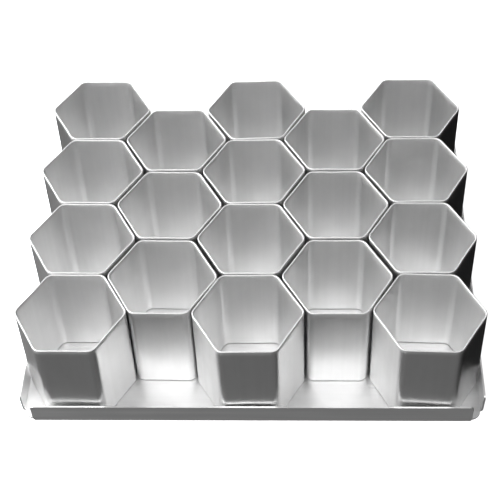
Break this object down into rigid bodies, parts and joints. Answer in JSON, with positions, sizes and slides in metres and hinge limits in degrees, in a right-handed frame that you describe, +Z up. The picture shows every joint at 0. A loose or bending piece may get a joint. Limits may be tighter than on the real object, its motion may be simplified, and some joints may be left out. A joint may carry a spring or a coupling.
{
  "type": "hexagonal cake ring set",
  "caption": "Open-ended hexagonal aluminium cake rings standing in a honeycomb on a shallow sheet-metal tray with upturned edges and open corners.",
  "frame": {"origin": "centre of the tray's underside, on the surface the tray stands on", "axes": "+Z up along the rings, +X to the right along the tray's longer side, -Y towards the front edge"},
  "size_m": [0.2734, 0.2354, 0.0647],
  "materials": {
    "tray_metal": "satin",
    "ring_metal": "satin anodised"
  },
  "bodies": {
    "tray": {"tray": "tray_metal"},
    "cake_ring_a1": {"cake_ring_a1": "ring_metal"},
    "cake_ring_a2": {"cake_ring_a2": "ring_metal"},
    "cake_ring_a3": {"cake_ring_a3": "ring_metal"},
    "cake_ring_a4": {"cake_ring_a4": "ring_metal"},
    "cake_ring_b1": {"cake_ring_b1": "ring_metal"},
    "cake_ring_b2": {"cake_ring_b2": "ring_metal"},
    "cake_ring_b3": {"cake_ring_b3": "ring_metal"},
    "cake_ring_c1": {"cake_ring_c1": "ring_metal"},
    "cake_ring_c2": {"cake_ring_c2": "ring_metal"},
    "cake_ring_c3": {"cake_ring_c3": "ring_metal"},
    "cake_ring_c4": {"cake_ring_c4": "ring_metal"},
    "cake_ring_d1": {"cake_ring_d1": "ring_metal"},
    "cake_ring_d2": {"cake_ring_d2": "ring_metal"},
    "cake_ring_d3": {"cake_ring_d3": "ring_metal"},
    "cake_ring_e1": {"cake_ring_e1": "ring_metal"},
    "cake_ring_e2": {"cake_ring_e2": "ring_metal"},
    "cake_ring_e3": {"cake_ring_e3": "ring_metal"},
    "cake_ring_e4": {"cake_ring_e4": "ring_metal"}
  },
  "joints": [
    {"name": "cake_ring_a1_lift", "type": "slide", "parent": "tray", "child": "cake_ring_a1", "axis": [0, 0, 1], "range_m": [0, 0.08]},
    {"name": "cake_ring_a2_lift", "type": "slide", "parent": "tray", "child": "cake_ring_a2", "axis": [0, 0, 1], "range_m": [0, 0.08]},
    {"name": "cake_ring_a3_lift", "type": "slide", "parent": "tray", "child": "cake_ring_a3", "axis": [0, 0, 1], "range_m": [0, 0.08]},
    {"name": "cake_ring_a4_lift", "type": "slide", "parent": "tray", "child": "cake_ring_a4", "axis": [0, 0, 1], "range_m": [0, 0.08]},
    {"name": "cake_ring_b1_lift", "type": "slide", "parent": "tray", "child": "cake_ring_b1", "axis": [0, 0, 1], "range_m": [0, 0.08]},
    {"name": "cake_ring_b2_lift", "type": "slide", "parent": "tray", "child": "cake_ring_b2", "axis": [0, 0, 1], "range_m": [0, 0.08]},
    {"name": "cake_ring_b3_lift", "type": "slide", "parent": "tray", "child": "cake_ring_b3", "axis": [0, 0, 1], "range_m": [0, 0.08]},
    {"name": "cake_ring_c1_lift", "type": "slide", "parent": "tray", "child": "cake_ring_c1", "axis": [0, 0, 1], "range_m": [0, 0.08]},
    {"name": "cake_ring_c2_lift", "type": "slide", "parent": "tray", "child": "cake_ring_c2", "axis": [0, 0, 1], "range_m": [0, 0.08]},
    {"name": "cake_ring_c3_lift", "type": "slide", "parent": "tray", "child": "cake_ring_c3", "axis": [0, 0, 1], "range_m": [0, 0.08]},
    {"name": "cake_ring_c4_lift", "type": "slide", "parent": "tray", "child": "cake_ring_c4", "axis": [0, 0, 1], "range_m": [0, 0.08]},
    {"name": "cake_ring_d1_lift", "type": "slide", "parent": "tray", "child": "cake_ring_d1", "axis": [0, 0, 1], "range_m": [0, 0.08]},
    {"name": "cake_ring_d2_lift", "type": "slide", "parent": "tray", "child": "cake_ring_d2", "axis": [0, 0, 1], "range_m": [0, 0.08]},
    {"name": "cake_ring_d3_lift", "type": "slide", "parent": "tray", "child": "cake_ring_d3", "axis": [0, 0, 1], "range_m": [0, 0.08]},
    {"name": "cake_ring_e1_lift", "type": "slide", "parent": "tray", "child": "cake_ring_e1", "axis": [0, 0, 1], "range_m": [0, 0.08]},
    {"name": "cake_ring_e2_lift", "type": "slide", "parent": "tray", "child": "cake_ring_e2", "axis": [0, 0, 1], "range_m": [0, 0.08]},
    {"name": "cake_ring_e3_lift", "type": "slide", "parent": "tray", "child": "cake_ring_e3", "axis": [0, 0, 1], "range_m": [0, 0.08]},
    {"name": "cake_ring_e4_lift", "type": "slide", "parent": "tray", "child": "cake_ring_e4", "axis": [0, 0, 1], "range_m": [0, 0.08]}
  ]
}
